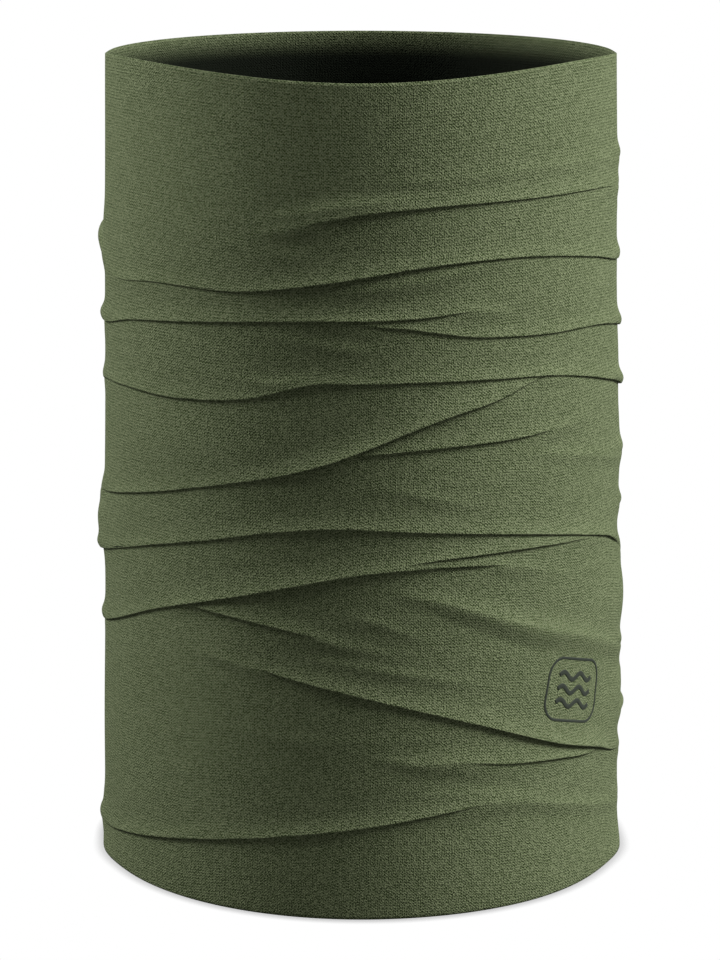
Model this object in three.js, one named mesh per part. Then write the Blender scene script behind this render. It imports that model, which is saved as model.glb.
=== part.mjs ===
// A seamless knitted neck gaiter, standing on its lower edge and pushed down into soft tucks.
// Millimetres, +Z up. The origin is on the tube's axis, at the level of its lower edge.
// Angles are in degrees round the tube: 0 is the front (-Y) and 90 is the +X side.

import * as THREE from "three";

// Driving dimensions of the tube
const TUBE_HEIGHT = 240;
const TOP_RADIUS = 75;
const BOTTOM_RADIUS = 79;
const WALL = 2;
const RIM_WAVE = 1.7; // the upper edge dips by this at the front centre and rises by it on both sides

// A tuck is a lip of cloth that stands out above its crease and falls back quickly below it.
const LIP_REACH = 2.2;
const LIP_ABOVE = 13;
const LIP_BELOW = 6;
const LIP_CENTRE = 2; // the lip stands out furthest this far above its crease

// How finely the soft tube is divided
const COLUMNS = 64;
const OUTER_ROWS = 44;
const INNER_ROWS = 4;

// The heat-transfer emblem: a rounded frame around three waves
const EMBLEM_ANGLE = 53;
const EMBLEM_HEIGHT = 59;
const EMBLEM_TILT = -15;
const FRAME_WIDTH = 27;
const FRAME_HEIGHT = 19;
const FRAME_CORNER = 6;
const FRAME_LINE = 0.8;
const WAVE_LENGTH = 17;
const WAVE_SWING = 1;
const WAVE_LINE = 1.4;
const WAVE_SPACING = 4;
const FRAME_STEPS = 56;
const WAVE_STEPS = 20;
const FILM = 0.4;
const FILM_GAP = 0.3;

const CLOTH_COLOUR = 0x5f6a4a;
const FILM_COLOUR = 0x3a4136;

// Each tuck's crease as [angle, height, strength]. A loop runs right round the tube, so its
// last point joins its first one.
const TUCKS = [
  { name: "high right", crease: [[5, 209, 0], [30, 212, 0.5], [60, 213, 0.6], [86, 210, 0.9],
    [115, 205, 1], [150, 201, 0.7], [185, 199, 0]] },
  { name: "upper right", crease: [[-22, 200, 0], [-6, 201.5, 0.5], [15, 204, 0.9], [60, 204.5, 0.9],
    [90, 199, 0.9], [120, 194, 0.8], [150, 191, 0]] },
  { name: "upper loop", loop: true, crease: [[-90, 184, 1], [-72, 178, 0.6], [-25, 180, 0.7],
    [2, 185.5, 1], [26, 189, 1], [60, 185, 1], [88, 179.5, 1], [130, 174, 0.9], [175, 178, 0.8],
    [225, 188, 0.9]] },
  { name: "middle left", crease: [[-190, 163, 0], [-160, 158, 0.8], [-120, 158, 1], [-86, 161, 1],
    [-42, 169.5, 0.9], [-13, 172.5, 0.8], [19, 174, 0.5], [34, 173.5, 0]] },
  { name: "middle right", crease: [[-8, 172.5, 0], [10, 170.5, 0.8], [31, 167, 1], [60, 165.5, 0.9],
    [90, 158, 1], [120, 154, 1], [155, 157, 0.8], [200, 168, 0]] },
  { name: "middle loop", loop: true, crease: [[-88, 143.5, 1], [-52, 147.5, 0.6], [-22, 150.5, 0.7],
    [-8, 155, 1], [21, 155, 1], [40, 154.5, 1], [88, 140.5, 1], [130, 136, 0.9], [175, 143, 0.9],
    [225, 146, 0.9]] },
  { name: "diagonal", crease: [[-9, 132, 0], [1, 137, 0.8], [17, 145, 1], [33, 150, 0.8],
    [46, 154, 0]] },
  { name: "long left", crease: [[-185, 112, 0], [-150, 106, 0.7], [-115, 105, 0.9], [-86, 109, 0.8],
    [-52, 118.5, 1], [-12, 130.5, 0.9], [10, 136, 0.8], [40, 137.5, 0.6], [62, 140, 0]] },
  { name: "soft right", crease: [[36, 133, 0], [60, 128, 0.6], [86, 121.5, 0.9], [120, 116, 0.9],
    [150, 117, 0.7], [180, 122, 0]] },
  { name: "far right", crease: [[68, 110, 0], [86, 104.5, 0.8], [120, 99, 0.9], [150, 102, 0.5],
    [172, 106, 0]] },
  { name: "lower loop", loop: true, crease: [[-88, 90.5, 1], [-48, 104, 1], [-19, 112, 0.9],
    [-2, 114, 0.9], [12, 113, 0.8], [41, 108.5, 0.8], [66, 101.5, 1], [88, 91.5, 1], [130, 84, 0.9],
    [175, 90, 0.9], [225, 94, 0.9]] },
  { name: "long rising", crease: [[-180, 76, 0], [-150, 68, 0.7], [-115, 65, 0.9], [-86, 69.5, 1],
    [-50, 84, 0.9], [-15, 97, 1], [11, 104, 0.9], [45, 104, 0.6], [68, 100, 0]] },
  { name: "short falling", crease: [[-45, 88, 0], [-27, 86, 0.6], [-10, 82.5, 0.5], [8, 77, 0]] },
  { name: "right valley", crease: [[10, 94, 0], [25, 88, 0.6], [45, 78.5, 0.8], [65, 70.5, 0.8],
    [86, 62, 1], [115, 57, 0.9], [150, 61, 0.6], [180, 66, 0]] },
  { name: "long falling", crease: [[-40, 74.5, 0], [-23, 72.5, 0.8], [-4, 67, 1], [26, 55, 1],
    [47, 45, 1], [74, 33, 1], [90, 27, 0.8], [120, 21, 0.7], [150, 23, 0]] },
  { name: "low branch", crease: [[8, 46, 0], [25, 44, 0.7], [47, 40.5, 0.7], [68, 36, 0]] },
  { name: "side pleat", crease: [[72, 41, 0], [86, 40, 0.8], [120, 38, 0.9], [160, 42, 0.7],
    [195, 47, 0]] },
  { name: "bottom loop", loop: true, crease: [[-88, 5, 1], [-56, 14, 0.8], [-15, 24, 0.8],
    [8, 28.5, 0.9], [28, 31.5, 0.8], [50, 26.5, 0.6], [86, 13, 0.5], [130, 9, 0.6], [180, 11, 0.8],
    [235, 7, 0.9]] },
];

const radians = THREE.MathUtils.degToRad;

// A direction in plan, pointing out of the tube at an angle round it
function outward(angle) {
  return new THREE.Vector3(Math.sin(radians(angle)), -Math.cos(radians(angle)), 0);
}

// A smooth cubic through a crease's points, which gives its height and strength at an angle
function creaseCurve({ crease, loop }) {
  const turned = (points, by) => points.map(([angle, ...rest]) => [angle + by, ...rest]);
  const points = loop
    ? [...turned(crease.slice(-2), -360), ...crease, ...turned(crease.slice(0, 3), 360)]
    : crease;
  const angles = points.map((point) => point[0]);
  const values = points.flatMap((point) => point.slice(1));
  return new THREE.CubicInterpolant(angles, values, 2);
}

const tuckCurves = TUCKS.map((tuck) => ({ ...tuck, curve: creaseCurve(tuck) }));

// The crease's height and strength at an angle. Outside its ends a crease has no strength.
function creaseAt({ crease, loop, curve }, angle) {
  const first = crease[0][0];
  const along = first + THREE.MathUtils.euclideanModulo(angle - first, 360);
  if (!loop && along > crease[crease.length - 1][0]) return { height: 0, strength: 0 };
  const [height, strength] = curve.evaluate(along);
  return { height, strength: THREE.MathUtils.clamp(strength, 0, 1) };
}

// A bump of height 1, falling to 0 by a cosine over its own reach on each side
function lipShape(above) {
  const reach = above > 0 ? LIP_ABOVE : LIP_BELOW;
  return Math.abs(above) < reach ? 0.5 + 0.5 * Math.cos((Math.PI * above) / reach) : 0;
}

function plainRadius(height) {
  return THREE.MathUtils.mapLinear(height, 0, TUBE_HEIGHT, BOTTOM_RADIUS, TOP_RADIUS);
}

// The cloth's outer surface: the plain tube with the tallest lip that passes this place
function outerRadius(angle, height) {
  const lips = tuckCurves.map((tuck) => {
    const crease = creaseAt(tuck, angle);
    return LIP_REACH * crease.strength * lipShape(height - crease.height - LIP_CENTRE);
  });
  const atRim = THREE.MathUtils.smoothstep(height, 0, LIP_BELOW);
  return plainRadius(height) + atRim * Math.max(...lips);
}

// The upper edge waves across the front half and is level round the back.
function rimHeight(angle) {
  const frontal = THREE.MathUtils.smoothstep(Math.cos(radians(angle)), -0.2, 0.2);
  return TUBE_HEIGHT - RIM_WAVE * frontal * Math.cos(radians(3 * angle));
}

// The outer surface as a grid of points, from which the tube and the emblem are both made
const outerGrid = Array.from({ length: OUTER_ROWS + 1 }, (_, row) =>
  Array.from({ length: COLUMNS }, (_, column) => {
    const angle = (360 * column) / COLUMNS;
    const height = (rimHeight(angle) * row) / OUTER_ROWS;
    return outward(angle).multiplyScalar(outerRadius(angle, height)).setZ(height);
  }),
);

// A closed tube: up the outside, over the upper edge, down the inside and under the lower edge
function knitTube() {
  const innerGrid = Array.from({ length: INNER_ROWS + 1 }, (_, row) =>
    Array.from({ length: COLUMNS }, (_, column) => {
      const angle = (360 * column) / COLUMNS;
      const height = rimHeight(angle) * (1 - row / INNER_ROWS);
      return outward(angle).multiplyScalar(plainRadius(height) - WALL).setZ(height);
    }),
  );
  const rings = [...outerGrid, ...innerGrid];
  const faces = [];
  rings.forEach((_, ring) => {
    const nextRing = (ring + 1) % rings.length;
    for (let column = 0; column < COLUMNS; column++) {
      const nextColumn = (column + 1) % COLUMNS;
      const a = ring * COLUMNS + column;
      const b = ring * COLUMNS + nextColumn;
      const c = nextRing * COLUMNS + nextColumn;
      const d = nextRing * COLUMNS + column;
      faces.push(a, b, c, a, c, d);
    }
  });
  const geometry = new THREE.BufferGeometry().setFromPoints(rings.flat());
  geometry.setIndex(faces);
  geometry.computeVertexNormals();
  return geometry;
}

// A point of the faceted outer surface, on whichever of a grid cell's two triangles holds it
function surfacePoint(angle, height) {
  const column = (THREE.MathUtils.euclideanModulo(angle, 360) / 360) * COLUMNS;
  const row = (height / rimHeight(angle)) * OUTER_ROWS;
  const [left, low] = [Math.floor(column), Math.floor(row)];
  const [across, up] = [column - left, row - low];
  const right = (left + 1) % COLUMNS;
  const side = across > up ? outerGrid[low][right] : outerGrid[low + 1][left];
  return new THREE.Vector3()
    .addScaledVector(outerGrid[low][left], 1 - Math.max(across, up))
    .addScaledVector(side, Math.abs(across - up))
    .addScaledVector(outerGrid[low + 1][right], Math.min(across, up));
}

// A place on the emblem, whose x runs round the tube and y up it, lifted off the cloth
function onTube(place, lift) {
  const { x, y } = place.clone().rotateAround(new THREE.Vector2(), radians(EMBLEM_TILT));
  const angle = EMBLEM_ANGLE + THREE.MathUtils.radToDeg(x / plainRadius(EMBLEM_HEIGHT));
  return surfacePoint(angle, EMBLEM_HEIGHT + y).addScaledVector(outward(angle), lift);
}

// A strip of film along a flat centre line, laid on the cloth. Each station of the line has
// four corners: the strip's two edges on its inner face, then the same edges on its outer face.
function filmStrip(line, width, closed) {
  const station = (i) => {
    const wrapped = THREE.MathUtils.euclideanModulo(i, line.length);
    return line[closed ? wrapped : THREE.MathUtils.clamp(i, 0, line.length - 1)];
  };
  const corners = line.flatMap((centre, i) => {
    const ahead = station(i + 1).clone().sub(station(i - 1)).normalize();
    const sideways = new THREE.Vector2(-ahead.y, ahead.x).multiplyScalar(width / 2);
    const [left, right] = [centre.clone().add(sideways), centre.clone().sub(sideways)];
    const [low, high] = [FILM_GAP, FILM_GAP + FILM];
    return [onTube(left, low), onTube(right, low), onTube(right, high), onTube(left, high)];
  });
  const faces = [];
  const spans = closed ? line.length : line.length - 1;
  for (let span = 0; span < spans; span++) {
    const here = span * 4;
    const there = ((span + 1) % line.length) * 4;
    for (let corner = 0; corner < 4; corner++) {
      const next = (corner + 1) % 4;
      faces.push(here + corner, there + corner, there + next);
      faces.push(here + corner, there + next, here + next);
    }
  }
  if (!closed) {
    const last = corners.length - 4;
    faces.push(0, 1, 2, 0, 2, 3);
    faces.push(last, last + 2, last + 1, last, last + 3, last + 2);
  }
  const geometry = new THREE.BufferGeometry().setFromPoints(corners).setIndex(faces);
  geometry.computeVertexNormals();
  return geometry;
}

// The emblem's frame: a strip round a rounded rectangle
function frameFilm() {
  const corner = FRAME_CORNER - FRAME_LINE / 2;
  const x = (FRAME_WIDTH - FRAME_LINE) / 2 - corner;
  const y = (FRAME_HEIGHT - FRAME_LINE) / 2 - corner;
  const outline = new THREE.Path();
  outline.absarc(x, y, corner, 0, Math.PI / 2);
  outline.absarc(-x, y, corner, Math.PI / 2, Math.PI);
  outline.absarc(-x, -y, corner, Math.PI, 1.5 * Math.PI);
  outline.absarc(x, -y, corner, 1.5 * Math.PI, 2 * Math.PI);
  outline.closePath();
  return filmStrip(outline.getSpacedPoints(FRAME_STEPS).slice(0, -1), FRAME_LINE, true);
}

// One wave: a strip along two turns of a sine line, above or below the emblem's centre
function waveFilm(rise) {
  const line = Array.from({ length: WAVE_STEPS + 1 }, (_, i) => {
    const share = i / WAVE_STEPS - 0.5;
    return new THREE.Vector2(
      WAVE_LENGTH * share,
      rise + WAVE_SWING * Math.sin(4 * Math.PI * share),
    );
  });
  return filmStrip(line, WAVE_LINE, false);
}

const cloth = new THREE.MeshStandardMaterial({
  color: CLOTH_COLOUR,
  roughness: 0.95,
  metalness: 0,
});
const film = new THREE.MeshStandardMaterial({ color: FILM_COLOUR, roughness: 0.6, metalness: 0 });

function namedMesh(name, geometry, material) {
  const mesh = new THREE.Mesh(geometry, material);
  mesh.name = name;
  return mesh;
}

const emblem = new THREE.Group();
emblem.add(namedMesh("transfer_frame", frameFilm(), film));
["lower", "middle", "upper"].forEach((place, i) => {
  emblem.add(namedMesh(`transfer_wave_${place}`, waveFilm((i - 1) * WAVE_SPACING), film));
});

const gaiter = new THREE.Group();
gaiter.add(namedMesh("knit_tube", knitTube(), cloth));
gaiter.add(emblem);

export default gaiter;
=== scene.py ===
"""A knitted neck gaiter, standing on its lower edge and pushed down into folds. Lengths are in metres."""

import math
from collections import namedtuple

import bpy
import numpy as np
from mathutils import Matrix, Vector
from mathutils.bvhtree import BVHTree


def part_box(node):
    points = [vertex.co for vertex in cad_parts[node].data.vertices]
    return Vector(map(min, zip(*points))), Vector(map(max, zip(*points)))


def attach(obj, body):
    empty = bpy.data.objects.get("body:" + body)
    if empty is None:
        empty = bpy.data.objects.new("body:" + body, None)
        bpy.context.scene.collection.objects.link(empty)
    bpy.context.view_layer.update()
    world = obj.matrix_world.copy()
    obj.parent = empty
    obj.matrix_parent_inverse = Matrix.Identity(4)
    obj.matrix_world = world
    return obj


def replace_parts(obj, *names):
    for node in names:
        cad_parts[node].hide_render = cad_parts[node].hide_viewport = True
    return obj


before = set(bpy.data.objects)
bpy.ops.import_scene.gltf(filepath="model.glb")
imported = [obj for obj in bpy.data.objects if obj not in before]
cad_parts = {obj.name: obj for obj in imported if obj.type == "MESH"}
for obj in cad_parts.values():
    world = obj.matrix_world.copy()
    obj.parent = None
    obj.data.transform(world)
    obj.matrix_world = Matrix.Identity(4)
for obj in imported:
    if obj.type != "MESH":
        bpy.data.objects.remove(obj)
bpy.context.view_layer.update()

MM = 0.001
SEED = 7

# The tube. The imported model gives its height.
RIM_WAVE = 1.7 * MM  # the upper edge dips by this in front, and rises by it 60 degrees to each side
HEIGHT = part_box("knit_tube")[1].z - RIM_WAVE
TOP_RADIUS = 75 * MM
BOTTOM_RADIUS = 79 * MM
GIRTH = math.pi * (TOP_RADIUS + BOTTOM_RADIUS)  # once round the tube at mid-height
CLOTH = 0.35 * MM  # how thick it is

# The mesh
COLUMNS = 360
ROWS = 460
FINE = 0.2 * MM  # the spacing at which each column's outline is worked out
SHARP_BEND = 0.2  # radians in one such step; from here on a bend gets the most rows
EXTRA_ROWS = 4  # that a sharp bend gets for each row of plain cloth
BEND_SPREAD = 4  # steps over which the extra rows fade out beside a bend

# A fold's shape
TURN = 0.25 * MM  # how tightly the cloth can turn
RAMP = (2.2 * MM, 3.5)  # how far up the cloth starts to flare: this, plus this many times the lip
FLARE = 2.2  # the power of the flare's curve; with more of it the cloth flares later
UNDERSIDE = 0.35  # a lip turns up behind itself at this share of how far it stands out
LIP_CLOSES = (1.3 * CLOTH, 2.1 * CLOTH)  # a lip up to the first hides nothing, and from the second can
COVER_CLOSES = (0.1 * MM, 0.8 * MM)  # a fold is open up to the first cover, and closed from the second
SOFT_FALL = (3 * MM, 3)  # a fold that hides nothing falls back below its ridge over this height
LEAST_GAP = 0.6 * MM  # between the creases of two folds that meet
NO_LIP = 0.001 * MM  # below this there is no fold
ROLLED_FROM = (66, 84)  # the angles from the front between which a fold becomes a full roll
ROLL_RISE = 1.7 * MM  # a roll stands out most at this height above its crease
ROLL_HEIGHT = 2.6 * MM

# The folds from the top down. Each crease is a line of (angle in degrees, height in mm, how far
# its lip stands out in mm, how far it hides the cloth below it in mm). Angle 0 is the front and
# 90 the +X side. A loop runs right round the tube, so its last point joins its first one.
FOLDS = [
    dict(name="high right", crease=[
        (-4, 210, 0, 0), (12, 211.5, 0.2, 0), (30, 212.5, 0.3, 0), (50, 213.5, 0.3, 0),
        (72, 212, 0.4, 0), (85, 210, 0.9, 0.34), (115, 205, 1.4, 0.82), (150, 201, 1, 0.82),
        (185, 199, 0, 0),
    ]),
    dict(name="upper right ridge", crease=[
        (-24, 200, 0, 0), (-14, 202.5, 0.48, 0), (-6, 204.6, 0.64, 0), (4, 206, 0.48, 0),
        (16, 207.5, 0, 0),
    ]),
    dict(name="upper right", crease=[
        (-26, 196.5, 0, 0), (-17, 198, 0.5, 0), (-8, 200.3, 0.98, 0.45), (0, 202.3, 1.06, 0.9),
        (15, 204.1, 0.98, 0.9), (40, 204.8, 0.75, 0.74), (65, 204.2, 0.69, 0.61),
        (86, 201.5, 0.5, 0.41), (110, 196, 1.2, 0.82), (140, 191, 0.8, 0.41), (160, 188, 0, 0),
    ]),
    dict(name="upper loop", loop=True, crease=[
        (-90, 184, 2, 0.41), (-80, 180, 0.7, 0.34), (-70, 177.9, 0.65, 0.48),
        (-50, 179.6, 0.69, 0.56), (-25, 180.1, 0.75, 0.74), (-4, 184, 1.28, 1.19),
        (12, 187.4, 1.2, 1.19), (33, 188.8, 0.86, 0.9), (60, 185.3, 0.74, 0.92),
        (80, 180.8, 0.9, 0.82), (90, 179.6, 1.1, 0.61), (130, 174, 1.5, 0.82),
        (175, 178, 1.5, 0.82), (225, 188, 2, 1.22),
    ]),
    dict(name="under the upper loop", crease=[
        (-9, 180, 0, 0), (2, 181.8, 0.47, 0.1), (12, 183.9, 0.6, 0.25), (21, 186, 0.6, 0.3),
        (30, 188.6, 0.37, 0.15), (38, 190, 0, 0),
    ]),
    dict(name="middle left", crease=[
        (-195, 161, 0, 0), (-160, 158, 1.2, 0.82), (-120, 158, 1.6, 0.82), (-88, 161.8, 1.5, 0.61),
        (-78, 162.6, 0.9, 0.61), (-60, 167, 0.69, 0.76), (-42, 169.6, 0.75, 0.9),
        (-13, 172.6, 0.83, 0.9), (12, 173.4, 0.83, 0.74), (25, 174.6, 0.75, 0.3), (35, 174, 0, 0),
    ]),
    dict(name="middle right", crease=[
        (-20, 174, 0, 0), (-10, 173, 0.31, 0.25), (1, 171.6, 0.75, 0.45), (10, 170.4, 0.75, 0.74),
        (23, 167.6, 0.75, 0.74), (40, 166.1, 0.75, 0.74), (65, 164.7, 0.78, 0.76),
        (80, 161.5, 1, 0.82), (92, 158.5, 1.5, 0.82), (120, 154, 1.6, 0.82), (150, 157, 1.2, 0.82),
        (172, 161, 0, 0),
    ]),
    dict(name="middle dip", crease=[
        (-24, 169.5, 0, 0), (-12, 167.2, 0.3, 0), (-4, 165.4, 0.35, 0), (6, 165, 0, 0),
    ]),
    dict(name="before the middle loop", crease=[
        (-36, 156, 0, 0), (-26, 155.4, 0.3, 0), (-18, 155.2, 0.5, 0.16), (-10, 157, 0, 0),
    ]),
    dict(name="middle loop", loop=True, crease=[
        (-90, 143, 0.8, 0.41), (-78, 145.6, 0.7, 0.82), (-63, 147.2, 0.69, 0.76),
        (-42, 147.7, 0.75, 0.74), (-22, 150.6, 0.78, 0.9), (-11, 154.7, 0.85, 0.9),
        (2, 155.3, 0.78, 0.9), (31, 154.9, 0.75, 0.9), (40, 154.4, 0.75, 0.9), (72, 146.8, 1, 1.02),
        (90, 141, 1.7, 0.82), (130, 136, 1.6, 0.82), (175, 143, 1.5, 0.82), (225, 146, 1.8, 0.82),
    ]),
    dict(name="long diagonal", crease=[
        (-190, 112, 0, 0), (-150, 106, 1.2, 0.82), (-115, 105, 1.4, 0.82), (-88, 109.4, 0.5, 0.41),
        (-78, 111.6, 0.7, 0.82), (-52, 118.3, 0.74, 0.92), (-27, 125.7, 0.78, 0.9),
        (-18, 128.4, 1.1, 0.9), (-5, 133.7, 1.51, 1.19), (1, 136.9, 1.61, 1.19),
        (17, 144.8, 1.42, 0.9), (31, 149.6, 1.1, 0.74), (40, 153.4, 0.75, 0.59),
        (50, 156, 0.25, 0.15), (58, 158, 0, 0),
    ]),
    dict(name="short right", crease=[
        (-16, 133, 0, 0), (-7, 134.5, 0.31, 0.3), (1, 135.2, 0.9, 0.59), (10, 136.1, 0.9, 0.74),
        (20, 136.8, 0.9, 0.74), (40, 137.7, 0.9, 0.54), (53, 138.9, 0.34, 0), (64, 140, 0, 0),
    ]),
    dict(name="right slope", crease=[
        (34, 133.5, 0, 0), (45, 131.2, 0.4, 0), (58, 128.2, 0.5, 0), (74, 124, 0.6, 0),
        (86, 121.5, 0.9, 0.34), (120, 116, 1.6, 0.82), (150, 117, 1, 0.82), (180, 122, 0, 0),
    ]),
    dict(name="short streak", crease=[
        (2, 125.5, 0, 0), (11, 124, 0.3, 0), (19, 121.5, 0.3, 0), (27, 119.5, 0, 0),
    ]),
    dict(name="far right", crease=[
        (78, 108, 0, 0), (87, 105, 1.1, 0.41), (120, 99, 1.5, 0.82), (150, 102, 1, 0.41),
        (172, 106, 0, 0),
    ]),
    dict(name="lower loop", loop=True, crease=[
        (-90, 91, 1.7, 0.82), (-78, 94, 0.9, 1.02), (-48, 103.9, 0.78, 0.92),
        (-36, 107.4, 0.75, 0.9), (-19, 112.3, 0.94, 0.9), (-6, 114.1, 1.02, 0.9),
        (12, 112.9, 0.94, 0.9), (41, 108.4, 0.86, 0.9), (60, 103.6, 0.86, 0.92),
        (70, 100.3, 1.1, 1.22), (76, 97.2, 0.9, 0.68), (84, 92.5, 0.7, 0.41), (92, 88, 0.7, 0.41),
        (130, 84, 1.5, 0.82), (175, 90, 1.5, 0.82), (225, 94, 2, 1.22),
    ]),
    dict(name="short rising", crease=[
        (-2, 101.4, 0, 0), (6, 102.9, 0.46, 0.25), (16, 104.6, 0.86, 0.54), (25, 105.1, 0.86, 0.74),
        (41, 104.8, 0.86, 0.74), (52, 103.8, 0.69, 0.61), (64, 102, 0.52, 0.31), (76, 99, 0, 0),
    ]),
    dict(name="long rising", crease=[
        (-185, 76, 0, 0), (-150, 68, 1.2, 0.82), (-115, 65, 1.5, 0.82), (-88, 70, 1.1, 0.61),
        (-78, 72.2, 0.9, 1.02), (-63, 78.1, 0.82, 0.92), (-50, 84.2, 0.86, 0.92),
        (-41, 87.8, 1.06, 0.9), (-26, 93.2, 1.45, 1.19), (-11, 98.3, 1.45, 1.19),
        (0, 101.2, 1.16, 1.19), (14, 102.4, 0.78, 0.9), (25, 102, 0.85, 0.7), (33, 101, 0.65, 0.1),
        (41, 98.5, 0.31, 0), (52, 95, 0, 0),
    ]),
    dict(name="small streak", crease=[
        (-6, 90.5, 0, 0), (2, 88, 0.3, 0), (8, 85, 0.3, 0), (16, 82, 0, 0),
    ]),
    dict(name="short falling", crease=[
        (-52, 88, 0, 0), (-44, 89, 0.31, 0.3), (-37, 88, 1.01, 0.59), (-28, 86.8, 1.01, 0.74),
        (-15, 84.3, 1.01, 0.59), (-5, 81.3, 0.53, 0.1), (8, 77.5, 0, 0),
    ]),
    dict(name="right valley", crease=[
        (6, 96, 0, 0), (17, 92.6, 0.8, 0), (28, 87.3, 1.3, 0), (41, 80.8, 1.4, 0),
        (54, 75.6, 1.2, 0), (65, 70.4, 0.9, 0), (78, 64.2, 1, 0.1), (90, 60.5, 0.9, 0.34),
        (115, 57, 1.5, 0.82), (150, 61, 1, 0.41), (180, 66, 0, 0),
    ]),
    dict(name="middle streak", crease=[
        (-14, 77.5, 0, 0), (0, 74.5, 0.3, 0), (14, 71, 0.35, 0), (30, 66.5, 0, 0),
    ]),
    dict(name="side pleat", crease=[
        (80, 41, 0, 0), (88, 40.5, 1.4, 0.41), (120, 38, 1.6, 0.82), (160, 42, 1.5, 0.82),
        (195, 47, 0, 0),
    ]),
    dict(name="long falling", crease=[
        (-41, 76, 0, 0), (-33, 74.9, 0.35, 0), (-25, 73.2, 0.6, 0), (-15, 70.4, 0.95, 0.9),
        (-4, 67, 1.1, 1.44), (8, 62.8, 1.1, 1.44), (26, 55.2, 1.3, 1.92), (47, 44.8, 1.6, 1.63),
        (61, 39.1, 1.4, 1.63), (74, 33, 0.7, 0.61), (88, 28, 0.6, 0.48), (120, 21, 1.5, 0.82),
        (155, 23, 0, 0),
    ]),
    dict(name="low branch", crease=[
        (2, 47.8, 0, 0), (12, 45.6, 0.64, 0.1), (20, 45.1, 1.05, 0.25), (30, 43, 1.05, 0.45),
        (47, 40.3, 1.15, 0.61), (58, 38.2, 0.97, 0.61), (66, 37.5, 0.34, 0.31), (76, 35, 0, 0),
    ]),
    dict(name="low streak", crease=[
        (8, 36.8, 0, 0), (20, 36, 0.25, 0), (32, 34, 0.25, 0), (44, 32, 0, 0),
    ]),
    dict(name="bottom loop", loop=True, crease=[
        (-90, 6, 1.4, 0.34), (-78, 8.4, 0.8, 0.61), (-56, 13.9, 0.93, 0.76),
        (-34, 19.6, 1.01, 0.74), (-15, 24.1, 1.05, 0.9), (0, 27.1, 1.05, 0.9),
        (16, 30.2, 1.05, 0.59), (27, 31.6, 1.01, 0.3), (36, 30.6, 0.75, 0.1), (47, 26.9, 0.69, 0),
        (74, 17, 0.4, 0), (88, 13, 0.2, 0), (130, 9, 1, 0.41), (180, 11, 1.4, 0.61),
        (235, 7, 1.5, 0.41),
    ]),
]

# Places where the whole cloth bellies out, as (angle, height in mm, out in mm, half the width
# in degrees, half the height in mm)
BELLIES = [
    (88, 78, 1.9, 18, 12), (88, 50, 1.3, 14, 8), (-88, 190, 0.5, 12, 6),
    (-88, 101, 2.2, 12, 8), (88, 150, 0.4, 12, 10), (88, 122, 0.9, 12, 15),
    (-77, 0, 0.9, 9, 6), (78, 0, 1.2, 9, 6), (-88, 12, 0.5, 14, 5), (42, 0, 1, 24, 14),
    (30, 145, 0.4, 20, 6), (-40, 135, 0.4, 30, 9), (150, 120, 1.2, 30, 16),
    (-140, 40, 1.2, 34, 18), (170, 215, 0.8, 30, 10),
]

# The cloth's slight unevenness
LONG_WAVES = 14
WRINKLES = 60

# The knit
WALES = 480  # stitches round the tube
COURSE = 0.86 * MM  # the height of one stitch
KNIT_RELIEF = 0.3 * MM  # between the strands and the gaps
FILM_RELIEF = 0.05 * MM  # what shows of it through the film
PAINTED_SHADE_START = -2 * MM  # painted shade: the inside's colour darkens from here, which is above the upper edge, and is at its darkest from this far down
PAINTED_SHADE_DEPTH = 8.5 * MM  # and is at its deepest from this far down
PAINTED_EDGE_SHADE = 0.4  # how far painted shade darkens the colour of the upper edge itself

# The emblem, a rounded frame round three waves
EMBLEM_ANGLE = 53
EMBLEM_HEIGHT = 59 * MM
EMBLEM_TILT = math.radians(-15)
FRAME_SIZE = (27 * MM, 19 * MM)
FRAME_CORNER = 6 * MM
FRAME_LINE = 0.8 * MM
FRAME_STEP = 0.4 * MM  # between points on its straight sides
WAVE_LENGTH = 17 * MM
WAVE_SWING = 1 * MM
WAVE_LINE = 1.4 * MM
WAVE_SPACING = 4 * MM
FILM = 0.12 * MM

# Colours
# partly the yarn's own uneven tone, partly painted shade in the gaps between strands
YARN_DARK_AND_GAP_SHADE = (0.036, 0.058, 0.015, 1)
YARN_LIGHT = (0.222, 0.256, 0.142, 1)
# painted shade: the near-black that the inside's colour fades to
PAINTED_DEEP_SHADE = (0.003, 0.005, 0.002, 1)
SHEEN_GREEN = (0.75, 0.85, 0.6, 1)
FILM_DARK = (0.018, 0.024, 0.017, 1)
FILM_LIGHT = (0.034, 0.042, 0.029, 1)
FLOOR_WHITE = (1, 1, 1, 1)
FLOOR_PAINTED_SHADOW = (0.25, 0.25, 0.25, 1)
FLOOR_GREY = (0.14, 0.14, 0.14, 1)

# The camera stands in front of the tube, a little to one side of its axis, and looks down at it.
CAMERA_PLACE = Vector((-0.3 * MM, -974 * MM, 328.3 * MM))
CAMERA_AIM = Vector((-0.3 * MM, 0, 111.3 * MM))
CAMERA_LENS = 123.8  # mm, on Blender's 36 mm sensor

FILL_LIGHT = 0.115  # how strong the light from all round is

# A fold where one column of the mesh crosses it. closed runs from 0, where it hides nothing, to 1,
# and rolled from 0, a flare, to 1, a full roll.
Crossing = namedtuple("Crossing", "crease lip cover closed rolled")


def smooth(value, start, end):
    """0 before start and 1 after end, turning smoothly between them."""
    share = np.clip((value - start) / (end - start), 0, 1)
    return share * share * (3 - 2 * share)


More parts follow.
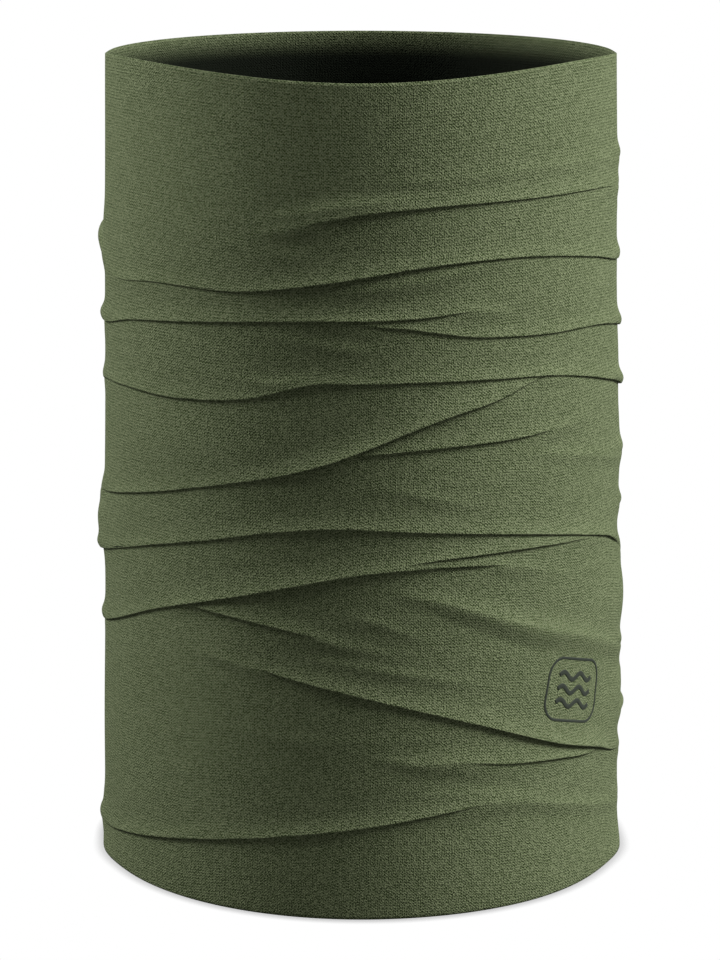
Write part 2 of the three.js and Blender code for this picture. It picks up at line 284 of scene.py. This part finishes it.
def crease_curve(fold, angles):
    """A fold's height, lip and cover at each angle, in metres, by a cubic through its points."""
    points = np.array(fold["crease"], float)
    first = points[0, 0]
    if fold.get("loop"):
        turn = (360, 0, 0, 0)
        points = np.vstack([points[-2:] - turn, points, points[:3] + turn])
    along = first + np.mod(angles - first, 360)
    x, y = points[:, 0], points[:, 1:]
    slope = np.gradient(y, x, axis=0)
    i = np.clip(np.searchsorted(x, along, side="right") - 1, 0, len(x) - 2)
    gap = (x[i + 1] - x[i])[:, None]
    t = np.clip((along - x[i]) / gap[:, 0], 0, 1)[:, None]
    value = (
        (2 * t**3 - 3 * t**2 + 1) * y[i]
        + (t**3 - 2 * t**2 + t) * gap * slope[i]
        + (3 * t**2 - 2 * t**3) * y[i + 1]
        + (t**3 - t**2) * gap * slope[i + 1]
    )
    here = along <= x[-1]
    lip = np.where(here, np.maximum(value[:, 1], 0), 0)
    cover = np.where(here, np.maximum(value[:, 2], 0), 0)
    return value[:, 0] * MM, lip * MM, cover * MM


def plain_radius(height):
    """The tube's radius at a height, without its folds."""
    return BOTTOM_RADIUS + (TOP_RADIUS - BOTTOM_RADIUS) * height / HEIGHT


def rim_height(angles):
    """The upper edge's height at each angle: wavy in front and level behind."""
    frontal = smooth(np.cos(np.radians(angles)), -0.2, 0.2)
    return HEIGHT - RIM_WAVE * frontal * np.cos(np.radians(3 * angles))


def approach(height, fold):
    """How far the cloth stands out at a height above a fold's crease. At the front it flares
    down to the crease, and towards the sides it is a rounded roll that turns back in above it."""
    up = np.maximum(height - fold.crease, 0)
    ramp = fold.cover + RAMP[0] + RAMP[1] * fold.lip
    flare = np.clip(1 - up / ramp, 0, 1) ** FLARE
    roll = np.exp(-(((up - ROLL_RISE) / ROLL_HEIGHT) ** 2))
    return fold.lip * (flare + fold.rolled * (roll - flare))


def stand_out(height, above, below):
    """How far a layer of cloth stands out at a height, between the folds above and below it. A
    fold that hides nothing falls back softly below its crease."""
    out = 0.0 * height
    for fold in below:
        out = out + approach(height, fold)
    for fold in above:
        reach = SOFT_FALL[0] + SOFT_FALL[1] * fold.lip
        out = out + (1 - fold.closed) * fold.lip * (1 - smooth(fold.crease - height, 0, reach))
    return out


def column_outline(folds, top):
    """One column's outline from the rim down, as (stand-out, height) points at even steps."""
    out, height = [], []
    start = top
    for i in range(len(folds) + 1):
        end = folds[i].crease if i < len(folds) else 0.0
        layer = np.linspace(start, end, max(int(abs(start - end) / FINE), 2))
        out.extend(stand_out(layer, folds[:i], folds[i:]))
        height.extend(layer)
        if i == len(folds):
            break
        # Under its lip the cloth turns in, and then up to where the next layer starts behind it
        fold = folds[i]
        start = fold.crease + fold.closed * fold.cover
        foot = float(stand_out(np.array(start), folds[: i + 1], folds[i + 1 :]))
        turn_up = foot + UNDERSIDE * fold.closed * (out[-1] - foot)
        stops = [(out[-1], fold.crease), (turn_up, fold.crease), (foot, start)]
        for a, b in zip(stops, stops[1:]):
            steps = int(math.dist(a, b) / FINE)
            if steps > 1:
                out.extend(np.linspace(a[0], b[0], steps)[1:])
                height.extend(np.linspace(a[1], b[1], steps)[1:])
    return np.array(out), np.array(height)


def resample(out, height, count, weight=None):
    """The same line with count points, at even distances along it or by weight."""
    step = np.hypot(np.diff(out), np.diff(height))
    if weight is not None:
        step = step * 0.5 * (weight[1:] + weight[:-1])
    along = np.concatenate([[0], np.cumsum(step)])
    at = np.linspace(0, along[-1], count)
    return np.interp(at, along, out), np.interp(at, along, height)


def blurred(values, sigma):
    """values smoothed by a Gaussian of sigma steps, with the ends kept."""
    reach = int(4 * sigma) + 1
    kernel = np.exp(-0.5 * (np.arange(-reach, reach + 1) / sigma) ** 2)
    kernel /= kernel.sum()
    before = 2 * values[0] - values[reach:0:-1]
    after = 2 * values[-1] - values[-2 : -reach - 2 : -1]
    return np.convolve(np.concatenate([before, values, after]), kernel, mode="valid")


def ripples(angle, height, random):
    """Slight unevenness of the cloth: long low waves, and faint crosswise wrinkles on them."""
    total = np.zeros(np.broadcast(angle, height).shape)
    for _ in range(LONG_WAVES):
        turns = random.integers(1, 7)
        rise = random.uniform(20, 170)
        phase = random.uniform(0, 2 * math.pi)
        total += 0.025 * MM * random.uniform(0.3, 1) * np.cos(turns * angle + rise * height + phase)
    for _ in range(WRINKLES):
        place = random.uniform(-math.pi, math.pi)
        wide = random.uniform(0.15, 0.5)
        rise = random.uniform(0.01, 0.235)
        tall = random.uniform(0.8, 2.2) * MM
        slant = random.uniform(-6, 6) * MM
        across = (np.mod(angle - place + math.pi, 2 * math.pi) - math.pi) / wide
        up = (height - rise - slant * across) / tall
        total += random.uniform(0.04, 0.14) * MM * np.exp(-(across**2) - up**2)
    return total


def bellies(angle, height):
    """How far the cloth bellies out."""
    total = np.zeros(np.broadcast(angle, height).shape)
    for place, rise, out, wide, tall in BELLIES:
        across = np.mod(angle - math.radians(place) + math.pi, 2 * math.pi) - math.pi
        up = (height / MM - rise) / tall
        total += out * MM * np.exp(-((across / math.radians(wide)) ** 2) - up**2)
    return total


def ordered_folds(curves, column, angle):
    """The folds that one column crosses, from the top down, with the creases of folds that meet
    kept apart."""
    rolled = float(smooth(abs(angle), *ROLLED_FROM))
    folds = []
    ceiling = 2 * HEIGHT
    for height, lip, cover in curves:
        if lip[column] < NO_LIP:
            continue
        crease = min(height[column], ceiling - LEAST_GAP)
        room = smooth(lip[column], *LIP_CLOSES)
        closed = float(room * smooth(cover[column], *COVER_CLOSES))
        folds.append(Crossing(crease, lip[column], cover[column], closed, rolled))
        # A fold that hides cloth keeps the next ones below it, and an open one doesn't
        ceiling = crease + (1 - smooth(closed, 0, 0.3)) * (ceiling - crease)
    folds.sort(reverse=True)
    return folds


def column_points(folds, top):
    """One column's (stand-out, height) points, rounded at its bends and closer together there."""
    out, height = column_outline(folds, top)
    length = np.hypot(np.diff(out), np.diff(height)).sum()
    out, height = resample(out, height, int(length / FINE))
    out, height = blurred(out, TURN / FINE), blurred(height, TURN / FINE)
    bend = np.hypot(np.gradient(np.gradient(out)), np.gradient(np.gradient(height))) / FINE
    weight = 1 + EXTRA_ROWS * np.clip(blurred(bend, BEND_SPREAD) / SHARP_BEND, 0, 1)
    return resample(out, height, ROWS, weight)


def tube_surface():
    """The cloth's outer surface as a grid of points, row by row from the rim down."""
    random = np.random.default_rng(SEED)
    angles = np.arange(COLUMNS) * 360 / COLUMNS - 180
    curves = [crease_curve(fold, angles) for fold in FOLDS]
    tops = rim_height(angles)
    out = np.zeros((ROWS, COLUMNS))
    height = np.zeros((ROWS, COLUMNS))
    for c in range(COLUMNS):
        folds = ordered_folds(curves, c, angles[c])
        out[:, c], height[:, c] = column_points(folds, tops[c])
    turn = np.radians(angles)[None, :]
    out += bellies(turn, height) + ripples(turn, height, random)
    radius = plain_radius(height) + out
    return np.stack([radius * np.sin(turn), -radius * np.cos(turn), height], axis=-1)


def grid_normals(points):
    """The outward direction at each point of the grid."""
    down = np.gradient(points, axis=0)
    round_it = (np.roll(points, -1, axis=1) - np.roll(points, 1, axis=1)) / 2
    normal = np.cross(down, round_it)
    return normal / np.linalg.norm(normal, axis=-1, keepdims=True)


def grid_quads(ring, next_ring, column):
    """The faces between each ring of points and the next, right round the tube."""
    next_column = (column + 1) % COLUMNS
    corners = [
        ring * COLUMNS + column,
        next_ring * COLUMNS + column,
        next_ring * COLUMNS + next_column,
        ring * COLUMNS + next_column,
    ]
    return np.stack(corners, axis=-1).reshape(-1, 4)


def cloth_lengths(points):
    """How far along the cloth each point is from the upper edge."""
    length = np.zeros((len(points), COLUMNS))
    length[1:] = np.cumsum(np.linalg.norm(np.diff(points, axis=0), axis=-1), axis=0)
    return length


def add_knit_uvs(mesh, points, ring, next_ring, column):
    """UVs in metres: x round the tube and y down the cloth, so that stitches keep their size."""
    length = cloth_lengths(points)
    down = np.concatenate([length, length[-1:], length[::-1], 0 * length[:1]])
    turn = (np.arange(COLUMNS + 1) / COLUMNS - 0.5) * GIRTH
    next_column = (column + 1) % COLUMNS
    corner_ring = np.stack([ring, next_ring, next_ring, ring], -1).reshape(-1)
    corner_column = np.stack([column, column, next_column, next_column], -1).reshape(-1)
    corner_turn = np.stack([column, column, column + 1, column + 1], -1).reshape(-1)
    uv = np.stack([turn[corner_turn], -down[corner_ring, corner_column]], -1)
    layer = mesh.uv_layers.new(name="knit")
    layer.data.foreach_set("uv", uv.astype(np.float32).ravel())


def add_painted_inside_shade(mesh, points):
    """How far painted shade darkens each point's colour: 0 on the outside, a little on the upper
    edge, and 1 on the inside from a little way down."""
    length = cloth_lengths(points)
    outside, edge = 0 * length, 0 * length[:1]
    deepening = smooth(length[::-1], PAINTED_SHADE_START, PAINTED_SHADE_DEPTH)
    inside = np.concatenate([outside, edge, deepening, edge + PAINTED_EDGE_SHADE])
    shade = mesh.attributes.new("inside", "FLOAT", "POINT")
    shade.data.foreach_set("value", inside.astype(np.float32).ravel())


def tube_mesh(points):
    """A closed tube: the outer grid, the same grid pushed in by the cloth's thickness, and a
    rounded edge between them at the top and the bottom."""
    outer = points
    inner = points - CLOTH * grid_normals(points)
    bulge = 0.25 * CLOTH
    top_edge = (outer[0] + inner[0]) / 2 + [0, 0, bulge]
    low_edge = (outer[-1] + inner[-1]) / 2 - [0, 0, bulge]
    rings = np.concatenate([outer, low_edge[None], inner[::-1], top_edge[None]])
    ring, column = np.meshgrid(np.arange(len(rings)), np.arange(COLUMNS), indexing="ij")
    next_ring = (ring + 1) % len(rings)
    mesh = bpy.data.meshes.new("knit_tube_cloth")
    quads = grid_quads(ring, next_ring, column)
    mesh.from_pydata(rings.reshape(-1, 3).tolist(), [], quads.tolist())
    mesh.polygons.foreach_set("use_smooth", [True] * len(mesh.polygons))
    add_knit_uvs(mesh, points, ring, next_ring, column)
    add_painted_inside_shade(mesh, points)
    mesh.update()
    return mesh


def new_piece(name, mesh):
    """A piece that rides on the part's one body."""
    piece = bpy.data.objects.new(name, mesh)
    bpy.context.scene.collection.objects.link(piece)
    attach(piece, "root")
    return piece


# ---- materials ----


class Nodes:
    """A material's node tree, with short calls for the nodes used here."""

    def __init__(self, name):
        self.material = bpy.data.materials.new(name)
        self.material.use_nodes = True
        self.tree = self.material.node_tree
        self.shader = self.tree.nodes["Principled BSDF"]

    def node(self, kind, **settings):
        made = self.tree.nodes.new(kind)
        for key, value in settings.items():
            setattr(made, key, value)
        return made

    def feed(self, socket, value):
        """Links a socket's output to this one, or sets a plain value on it."""
        if isinstance(value, bpy.types.NodeSocket):
            self.tree.links.new(value, socket)
        else:
            socket.default_value = value

    def math(self, operation, *values, clamp=False):
        made = self.node("ShaderNodeMath", operation=operation, use_clamp=clamp)
        for i, value in enumerate(values):
            self.feed(made.inputs[i], value)
        return made.outputs[0]

    def noise(self, uv, across, down, detail, roughness):
        """Noise with this many features in a metre across the cloth and down it."""
        scaled = self.node("ShaderNodeMapping")
        self.feed(scaled.inputs["Vector"], uv)
        scaled.inputs["Scale"].default_value = (across, down, 1)
        made = self.node("ShaderNodeTexNoise")
        self.feed(made.inputs["Vector"], scaled.outputs["Vector"])
        made.inputs["Scale"].default_value = 1
        made.inputs["Detail"].default_value = detail
        made.inputs["Roughness"].default_value = roughness
        return made.outputs["Fac"]

    def mix(self, factor, a, b):
        made = self.node("ShaderNodeMix", data_type="RGBA")
        self.feed(made.inputs["Factor"], factor)
        self.feed(made.inputs["A"], a)
        self.feed(made.inputs["B"], b)
        return made.outputs["Result"]

    def bump(self, height, distance, strength=1.0):
        made = self.node("ShaderNodeBump")
        self.feed(made.inputs["Height"], height)
        made.inputs["Distance"].default_value = distance
        made.inputs["Strength"].default_value = strength
        return made.outputs["Normal"]


def knit_height(nodes, uv):
    """High on the strands of a plain jersey knit, whose stitches look like Vs, and low in the
    small gaps inside each V and between one V and the next."""
    split = nodes.node("ShaderNodeSeparateXYZ")
    nodes.feed(split.inputs[0], uv)
    wale = nodes.math("MULTIPLY", split.outputs[0], WALES / GIRTH)
    across = nodes.math("PINGPONG", wale, 0.5)  # 0 in a wale's middle and 0.5 at its edge
    slant = nodes.math("MULTIPLY_ADD", split.outputs[1], 1 / COURSE, across)
    # Between one strand and the next, and deeper in a wale's middle and at its edge
    row = nodes.math("COSINE", nodes.math("MULTIPLY", slant, 2 * math.pi))
    row = nodes.math("MULTIPLY_ADD", row, 0.5, 0.5)
    column = nodes.math("COSINE", nodes.math("MULTIPLY", wale, 4 * math.pi))
    column = nodes.math("MULTIPLY_ADD", column, 0.35, 0.65)
    # Each gap has its own depth
    cell = nodes.node("ShaderNodeCombineXYZ")
    nodes.feed(cell.inputs[0], nodes.math("ROUND", nodes.math("MULTIPLY", wale, 2)))
    nodes.feed(cell.inputs[1], nodes.math("ROUND", slant))
    uneven = nodes.node("ShaderNodeTexWhiteNoise", noise_dimensions="2D")
    nodes.feed(uneven.inputs["Vector"], cell.outputs[0])
    depth = nodes.math("MULTIPLY_ADD", uneven.outputs["Value"], 1.3, 0.2)
    gap = nodes.math("MULTIPLY", nodes.math("MULTIPLY", row, column), depth)
    grain = nodes.noise(uv, 2300, 2300, 1, 0.5)
    height = nodes.math("MULTIPLY_ADD", gap, -0.8, 0.75)
    return nodes.math("ADD", height, nodes.math("MULTIPLY_ADD", grain, 1.8, -0.9), clamp=True)


def knit_material():
    nodes = Nodes("olive_knit")
    uv = nodes.node("ShaderNodeUVMap", uv_map="knit").outputs["UV"]
    stitches = knit_height(nodes, uv)
    streaks = nodes.noise(uv, 60, 1600, 3, 0.6)
    patches = nodes.noise(uv, 30, 60, 3, 0.6)
    # The stitches' height also sets the colour: darker in the gaps, which is painted shade, while the
    # grain, streaks and patches are the yarn's own uneven tone
    shade = nodes.math("ADD", stitches, nodes.math("MULTIPLY_ADD", streaks, 0.16, -0.08))
    shade = nodes.math("ADD", shade, nodes.math("MULTIPLY_ADD", patches, 0.1, -0.05), clamp=True)
    colour = nodes.mix(shade, YARN_DARK_AND_GAP_SHADE, YARN_LIGHT)
    # Painted shade: the colour of the inside, and a little of the upper edge, is darkened towards
    # near-black
    inside = nodes.node("ShaderNodeAttribute", attribute_name="inside").outputs["Fac"]
    colour = nodes.mix(inside, colour, PAINTED_DEEP_SHADE)
    nodes.feed(nodes.shader.inputs["Base Color"], colour)
    nodes.feed(nodes.shader.inputs["Roughness"], nodes.math("MULTIPLY_ADD", stitches, -0.12, 0.95))
    nodes.feed(nodes.shader.inputs["Normal"], nodes.bump(stitches, KNIT_RELIEF))
    nodes.shader.inputs["Specular IOR Level"].default_value = 0.08
    nodes.shader.inputs["Sheen Weight"].default_value = 0.03
    nodes.shader.inputs["Sheen Roughness"].default_value = 0.5
    nodes.shader.inputs["Sheen Tint"].default_value = SHEEN_GREEN
    return nodes.material


def film_material():
    nodes = Nodes("transfer_film")
    uv = nodes.node("ShaderNodeUVMap", uv_map="knit").outputs["UV"]
    stitches = knit_height(nodes, uv)
    wear = nodes.noise(uv, 900, 900, 3, 0.6)
    colour = nodes.mix(wear, FILM_DARK, FILM_LIGHT)
    nodes.feed(nodes.shader.inputs["Base Color"], colour)
    nodes.feed(nodes.shader.inputs["Roughness"], nodes.math("MULTIPLY_ADD", wear, 0.2, 0.55))
    nodes.feed(nodes.shader.inputs["Normal"], nodes.bump(stitches, FILM_RELIEF, 0.6))
    nodes.shader.inputs["Specular IOR Level"].default_value = 0.3
    return nodes.material


# ---- the emblem ----


def cloth_tree(points):
    """A search tree of the cloth's outer surface."""
    row, column = np.meshgrid(np.arange(ROWS - 1), np.arange(COLUMNS), indexing="ij")
    quads = grid_quads(row, row + 1, column)
    return BVHTree.FromPolygons(points.reshape(-1, 3).tolist(), quads.tolist())


def on_cloth(tree, x, y):
    """The point of the outermost cloth at a place on the emblem, and the cloth's direction there."""
    across = x * math.cos(EMBLEM_TILT) - y * math.sin(EMBLEM_TILT)
    up = x * math.sin(EMBLEM_TILT) + y * math.cos(EMBLEM_TILT)
    angle = math.radians(EMBLEM_ANGLE) + across / plain_radius(EMBLEM_HEIGHT)
    outward = Vector((math.sin(angle), -math.cos(angle), 0))
    start = outward * 2 * BOTTOM_RADIUS + Vector((0, 0, EMBLEM_HEIGHT + up))
    point, normal, _, _ = tree.ray_cast(start, -outward)
    if normal.dot(outward) < 0:
        normal = -normal
    return point, normal


# Across a strip of film, from one lower edge over the top to the other, and back under its middle:
# (place as a share of the width, height as a share of the film's thickness)
STRIP_SECTION = [
    (-0.5, 0.1), (-0.47, 0.8), (-0.42, 1), (0, 1.05),
    (0.42, 1), (0.47, 0.8), (0.5, 0.1), (0, 0.1),
]


def film_strip(name, tree, line, width, closed):
    """A strip of film along a flat line of (x, y) places, lying on the cloth."""
    line = np.array(line)
    if closed:
        ahead = np.roll(line, -1, axis=0) - np.roll(line, 1, axis=0)
    else:
        ahead = np.gradient(line, axis=0)
    ahead /= np.linalg.norm(ahead, axis=1, keepdims=True)
    sideways = np.stack([-ahead[:, 1], ahead[:, 0]], axis=1)
    vertices, uv = [], []
    for centre, side in zip(line, sideways):
        for across, lift in STRIP_SECTION:
            place = centre + side * across * width
            point, normal = on_cloth(tree, *place)
            vertices.append(point + normal * lift * FILM)
            uv.append(place)
    size, count = len(STRIP_SECTION), len(line)
    faces = []
    for i in range(count if closed else count - 1):
        here, there = i * size, ((i + 1) % count) * size
        for k in range(size):
            n = (k + 1) % size
            faces.append((here + k, there + k, there + n, here + n))
    if not closed:
        faces.append(tuple(range(size)))
        faces.append(tuple(reversed(range((count - 1) * size, count * size))))
    mesh = bpy.data.meshes.new(name)
    mesh.from_pydata(vertices, [], faces)
    layer = mesh.uv_layers.new(name="knit")
    corners = np.zeros(len(mesh.loops), int)
    mesh.loops.foreach_get("vertex_index", corners)
    layer.data.foreach_set("uv", np.array(uv)[corners].astype(np.float32).ravel())
    mesh.polygons.foreach_set("use_smooth", [True] * len(mesh.polygons))
    mesh.update()
    return mesh


def frame_line():
    """The centre line of the emblem's frame, a rounded rectangle."""
    corner = FRAME_CORNER - FRAME_LINE / 2
    x = (FRAME_SIZE[0] - FRAME_LINE) / 2 - corner
    y = (FRAME_SIZE[1] - FRAME_LINE) / 2 - corner
    corners = [(x, y), (-x, y), (-x, -y), (x, -y)]
    side_ends = [(-x, y + corner), (-x - corner, -y), (x, -y - corner), (x + corner, y)]
    line = []
    for i, ((cx, cy), end) in enumerate(zip(corners, side_ends)):
        for turn in np.linspace(i, i + 1, 17) * math.pi / 2:
            line.append((cx + corner * math.cos(turn), cy + corner * math.sin(turn)))
        steps = int(math.dist(line[-1], end) / FRAME_STEP)
        line.extend(np.linspace(line[-1], end, steps)[1:-1].tolist())
    return line


def wave_line(rise):
    """The centre line of a wave with two crests, this far above the emblem's middle."""
    share = np.linspace(-0.5, 0.5, 61)
    return np.stack([WAVE_LENGTH * share, rise + WAVE_SWING * np.sin(4 * math.pi * share)], axis=1)


def make_gaiter():
    """The cloth, and the film pieces on it."""
    points = tube_surface()
    tube = new_piece("knit_tube_cloth", tube_mesh(points))
    tube.data.materials.append(knit_material())
    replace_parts(tube, "knit_tube")
    film = film_material()
    tree = cloth_tree(points)
    strips = {
        "frame": (frame_line(), FRAME_LINE, True),
        "wave_lower": (wave_line(-WAVE_SPACING), WAVE_LINE, False),
        "wave_middle": (wave_line(0), WAVE_LINE, False),
        "wave_upper": (wave_line(WAVE_SPACING), WAVE_LINE, False),
    }
    for name, (line, width, closed) in strips.items():
        mesh = film_strip("film_" + name, tree, line, width, closed)
        mesh.materials.append(film)
        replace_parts(new_piece("film_" + name, mesh), "transfer_" + name)
    length = cloth_lengths(points)[-1]


# ---- floor, lights and camera ----


def floor_material():
    """Plain white as the camera sees it, with a painted contact shadow close to where something stands
    on it. To the light that falls on it, it is grey, so that it lifts the shade under the folds only a
    little."""
    nodes = Nodes("floor_white")
    # Painted contact shadow: ambient occlusion darkens the white close to the cloth
    painted_shadow_ao = nodes.node("ShaderNodeAmbientOcclusion", samples=8)
    painted_shadow_ao.inputs["Distance"].default_value = 3.5 * MM
    shade = nodes.math("POWER", painted_shadow_ao.outputs["AO"], 1.2)
    glow = nodes.node("ShaderNodeEmission")
    nodes.feed(glow.inputs["Color"], nodes.mix(shade, FLOOR_PAINTED_SHADOW, FLOOR_WHITE))
    seen = nodes.node("ShaderNodeLightPath").outputs["Is Camera Ray"]
    plain = nodes.node("ShaderNodeBsdfDiffuse")
    plain.inputs["Color"].default_value = FLOOR_GREY
    both = nodes.node("ShaderNodeMixShader")
    nodes.feed(both.inputs[0], seen)
    nodes.feed(both.inputs[1], plain.outputs[0])
    nodes.feed(both.inputs[2], glow.outputs[0])
    nodes.feed(nodes.tree.nodes["Material Output"].inputs["Surface"], both.outputs[0])
    return nodes.material


def make_floor():
    mesh = bpy.data.meshes.new("floor")
    reach = 6
    corners = [(-reach, -reach, 0), (reach, -reach, 0), (reach, reach, 0), (-reach, reach, 0)]
    mesh.from_pydata(corners, [], [(0, 1, 2, 3)])
    floor = bpy.data.objects.new("floor", mesh)
    floor.location.z = -0.3 * MM  # just below the cloth's lower edge
    bpy.context.scene.collection.objects.link(floor)
    floor.data.materials.append(floor_material())


def make_light(name, azimuth, elevation, distance, size, power):
    """A softbox aimed at the tube's middle, from angles in degrees round it and above it."""
    light = bpy.data.lights.new(name, "AREA")
    light.shape = "RECTANGLE"
    light.size, light.size_y = size
    light.energy = power
    lamp = bpy.data.objects.new(name, light)
    turn, rise = math.radians(azimuth), math.radians(elevation)
    out = Vector((math.sin(turn) * math.cos(rise), -math.cos(turn) * math.cos(rise), math.sin(rise)))
    lamp.location = Vector((0, 0, HEIGHT / 2)) + out * distance
    lamp.rotation_euler = (-out).to_track_quat("-Z", "Y").to_euler()
    bpy.context.scene.collection.objects.link(lamp)


def make_world():
    """Plain white as the camera sees it, and a weak light from all round on everything else."""
    world = bpy.data.worlds.new("studio")
    bpy.context.scene.world = world
    world.use_nodes = True
    tree = world.node_tree
    background = tree.nodes["Background"]
    path = tree.nodes.new("ShaderNodeLightPath")
    strength = tree.nodes.new("ShaderNodeMapRange")
    strength.inputs["To Min"].default_value = FILL_LIGHT
    strength.inputs["To Max"].default_value = 1.0
    tree.links.new(path.outputs["Is Camera Ray"], strength.inputs["Value"])
    tree.links.new(strength.outputs["Result"], background.inputs["Strength"])
    background.inputs["Color"].default_value = (1, 1, 1, 1)


def make_camera():
    data = bpy.data.cameras.new("camera")
    data.lens = CAMERA_LENS
    camera = bpy.data.objects.new("camera", data)
    camera.location = CAMERA_PLACE
    camera.rotation_euler = (CAMERA_AIM - CAMERA_PLACE).to_track_quat("-Z", "Y").to_euler()
    bpy.context.scene.collection.objects.link(camera)
    bpy.context.scene.camera = camera


bpy.context.scene.view_settings.view_transform = "Standard"
make_camera()
make_gaiter()
make_floor()
make_world()
make_light("right_softbox", 84, 40, 2, (1.0, 0.8), 72)
make_light("left_softbox", -95, 40, 1.2, (0.6, 0.5), 16.8)
make_light("back_softbox", 180, 10, 1.2, (0.6, 0.4), 4)
